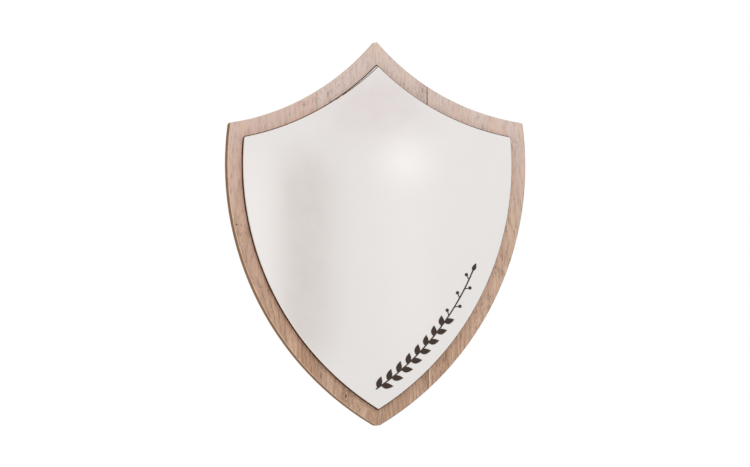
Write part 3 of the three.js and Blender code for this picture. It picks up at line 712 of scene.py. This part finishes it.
VIEW_AZIMUTH = radians(-9.8)
VIEW_HEIGHT = radians(-1.5)
VIEW_DISTANCE = 12.0
PICTURE_WIDTH = 0.7442
SENSOR_WIDTH = 36.0
VIEW_END = 100.0
ASIDE = -0.0021
LIFT = 0.0003
ROLL = radians(-0.22)
front_middle = Vector((0.0, front_face, (board_low.z + board_high.z) / 2))
back_to_camera = Vector((
    sin(VIEW_AZIMUTH) * cos(VIEW_HEIGHT), -cos(VIEW_AZIMUTH) * cos(VIEW_HEIGHT), sin(VIEW_HEIGHT),
))
to_right = Vector((cos(VIEW_AZIMUTH), sin(VIEW_AZIMUTH), 0.0))
target = front_middle + to_right * ASIDE + Vector((0.0, 0.0, LIFT))
camera = bpy.data.objects.new("camera", bpy.data.cameras.new("camera"))
bpy.context.scene.collection.objects.link(camera)
camera.data.sensor_width = SENSOR_WIDTH
camera.data.lens = SENSOR_WIDTH * VIEW_DISTANCE / PICTURE_WIDTH
camera.data.clip_end = VIEW_END
camera.location = target + back_to_camera * VIEW_DISTANCE
camera.rotation_mode = "QUATERNION"
camera.rotation_quaternion = (-back_to_camera).to_track_quat("-Z", "Y") @ Quaternion((0.0, 0.0, 1.0), ROLL)
bpy.context.scene.camera = camera
bpy.context.scene.view_settings.view_transform = "Standard"

ROOM_LIGHT = (0.79, 0.79, 0.79)
WHITE = (1.0, 1.0, 1.0)
world = bpy.data.worlds.new("white_room")
bpy.context.scene.world = world
world.use_nodes = True
room = world.node_tree
seen = add(room, "ShaderNodeLightPath").outputs["Is Camera Ray"]
room.links.new(mixed(room, seen, ROOM_LIGHT, WHITE), room.nodes["Background"].inputs["Color"])


def soft_light(name, place, size, power):
    """An area light at a place, turned towards the plaque."""
    lamp = bpy.data.lights.new(name, "AREA")
    lamp.shape = "RECTANGLE"
    lamp.size, lamp.size_y = size
    lamp.energy = power
    light = bpy.data.objects.new(name, lamp)
    light.location = place
    light.rotation_mode = "QUATERNION"
    light.rotation_quaternion = (-Vector(place)).to_track_quat("-Z", "Y")
    bpy.context.scene.collection.objects.link(light)
    light.visible_camera = False


soft_light("key_light", (0.9, -2.6, 1.5), (1.4, 1.4), 36.0)
soft_light("left_light", (-2.2, -0.9, 0.2), (0.5, 1.6), 6.0)

FLOOR_RADIUS = 2.2
FLOOR_DEPTH = 0.5
FLOOR_DARK = (0.82, 0.81, 0.80)
FLOOR_LIGHT = (0.86, 0.85, 0.84)


def pale_floor():
    """Pale matt floor that fades out towards its rim."""
    material, tree, shader, place = surface("pale_floor")
    speckle = noise(tree, place, (30, 30, 30), 3.0)
    tree.links.new(mixed(tree, speckle, FLOOR_DARK, FLOOR_LIGHT), shader.inputs["Base Color"])
    shader.inputs["Roughness"].default_value = 0.7
    from_middle = add(tree, "ShaderNodeVectorMath", {"operation": "LENGTH"})
    tree.links.new(place, from_middle.inputs[0])
    tree.links.new(faded(tree, from_middle.outputs["Value"], FLOOR_RADIUS, 1.0), shader.inputs["Alpha"])
    return material


bpy.ops.object.select_all(action="DESELECT")
bpy.ops.mesh.primitive_circle_add(
    vertices=96, radius=FLOOR_RADIUS, fill_type="NGON", location=(0, 0, -FLOOR_DEPTH),
)
floor = bpy.context.active_object
floor.name = "floor"
floor.data.materials.append(pale_floor())


def gloss_card(name, left, right, bottom, top, distance, colour, soft):
    """A soft-edged card before the panel, seen only in its gloss, its sides given where they are mirrored."""
    spread = 1.0 + distance / VIEW_DISTANCE
    shift = Vector((-distance * tan(VIEW_AZIMUTH), -distance, -distance * tan(VIEW_HEIGHT)))
    middle = Vector(((left + right) / 2 * spread, front_face, (bottom + top) / 2 * spread)) + shift
    bpy.ops.object.select_all(action="DESELECT")
    bpy.ops.mesh.primitive_plane_add(size=1.0, location=middle, rotation=(radians(90), 0, 0))
    card = bpy.context.active_object
    card.name = name
    card.scale = ((right - left) * spread, (top - bottom) * spread, 1.0)
    material, tree, shader, place = surface(name)
    axes = add(tree, "ShaderNodeSeparateXYZ", Vector=place)
    cover_x = between(tree, axes.outputs["X"], (-0.5, -0.5 + soft[0]), (0.5 - soft[1], 0.5))
    cover_y = between(tree, axes.outputs["Y"], (-0.5, -0.5 + soft[2]), (0.5 - soft[3], 0.5))
    tree.links.new(maths(tree, "MULTIPLY", cover_x, cover_y), shader.inputs["Alpha"])
    shader.inputs["Base Color"].default_value = (0.0, 0.0, 0.0, 1.0)
    shader.inputs["Specular IOR Level"].default_value = 0.0
    shader.inputs["Emission Color"].default_value = (*colour, 1.0)
    shader.inputs["Emission Strength"].default_value = 1.0
    card.data.materials.append(material)
    card.visible_camera = False
    card.visible_diffuse = False
    card.visible_shadow = False
    card.visible_transmission = False


# The numbers are left, right, bottom, top and distance, then the colour, then the share of the card over
# which its left, right, bottom and top sides fade.
gloss_card("shade_card", -0.106, -0.030, -0.135, 0.096, 0.35, (0.42, 0.34, 0.31), (0.30, 0.58, 0.15, 0.16))
gloss_card("margin_card", -0.150, -0.098, -0.120, 0.110, 0.36, (1.05, 1.04, 1.03), (0.3, 0.3, 0.3, 0.3))
gloss_card("glow_card", -0.008, 0.062, 0.036, 0.111, 0.37, (1.36, 1.38, 1.38), (0.5, 0.5, 0.5, 0.5))
gloss_card("ribbon_card", -0.005, 0.068, -0.160, 0.075, 0.38, (0.92, 0.89, 0.88), (0.5, 0.5, 0.3, 0.3))
gloss_card("apex_card", -0.065, 0.065, 0.085, 0.170, 0.39, (0.60, 0.515, 0.525), (0.3, 0.3, 0.3, 0.3))
